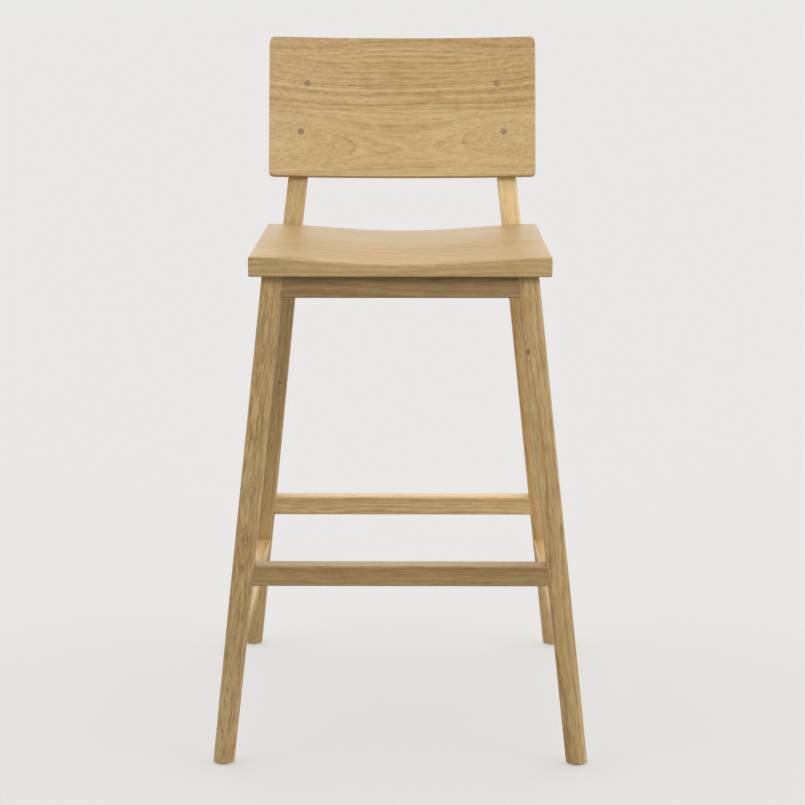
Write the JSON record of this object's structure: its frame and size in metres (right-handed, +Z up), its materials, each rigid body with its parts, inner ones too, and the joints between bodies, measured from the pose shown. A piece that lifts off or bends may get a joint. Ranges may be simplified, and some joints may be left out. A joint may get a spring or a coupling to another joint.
{
  "type": "bar stool with footrest",
  "caption": "Tall solid wood bar stool with a hollowed seat, a curved backrest on leaning posts, splayed legs and a footrest rail tied by stretchers.",
  "frame": {"origin": "on the floor, in the middle of the four feet", "axes": "+Z up, -Y the front where the footrest is, X across the stool"},
  "size_m": [0.549, 0.5865, 1.0378],
  "materials": {
    "oak_panel": "edge-glued oak boards, sanded and oiled",
    "oak_leg": "straight-grained oak, sanded and oiled",
    "oak_rail": "straight-grained oak, sanded and oiled",
    "end_grain_oak": "oak end grain, sanded flush and oiled",
    "beech": "planed beech, unfinished",
    "zinc_steel": "zinc plated",
    "nylon": "moulded nylon"
  },
  "bodies": {
    "root": {"back_plug_lower_left": "end_grain_oak", "back_plug_lower_right": "end_grain_oak", "back_plug_upper_left": "end_grain_oak", "back_plug_upper_right": "end_grain_oak", "back_screw_lower_left": "zinc_steel", "back_screw_lower_right": "zinc_steel", "back_screw_upper_left": "zinc_steel", "back_screw_upper_right": "zinc_steel", "backrest_panel": "oak_panel", "block_screw_front_left": "zinc_steel", "block_screw_front_right": "zinc_steel", "block_screw_rear_left": "zinc_steel", "block_screw_rear_right": "zinc_steel", "corner_block_front_left": "beech", "corner_block_front_right": "beech", "corner_block_rear_left": "beech", "corner_block_rear_right": "beech", "footrest": "oak_rail", "front_apron": "oak_rail", "front_apron_tenon_left": "beech", "front_apron_tenon_right": "beech", "front_leg_left": "oak_leg", "front_leg_right": "oak_leg", "glide_front_left": "nylon", "glide_front_right": "nylon", "glide_rear_left": "nylon", "glide_rear_right": "nylon", "left_apron": "oak_rail", "left_apron_tenon_front": "beech", "left_apron_tenon_rear": "beech", "left_stretcher": "oak_rail", "rear_apron": "oak_rail", "rear_apron_tenon_left": "beech", "rear_apron_tenon_right": "beech", "rear_leg_left": "oak_leg", "rear_leg_right": "oak_leg", "rear_stretcher": "oak_rail", "right_apron": "oak_rail", "right_apron_tenon_front": "beech", "right_apron_tenon_rear": "beech", "right_stretcher": "oak_rail", "seat_panel": "oak_panel", "seat_screw_front_left": "zinc_steel", "seat_screw_front_right": "zinc_steel", "seat_screw_rear_left": "zinc_steel", "seat_screw_rear_right": "zinc_steel"}
  },
  "joints": []
}
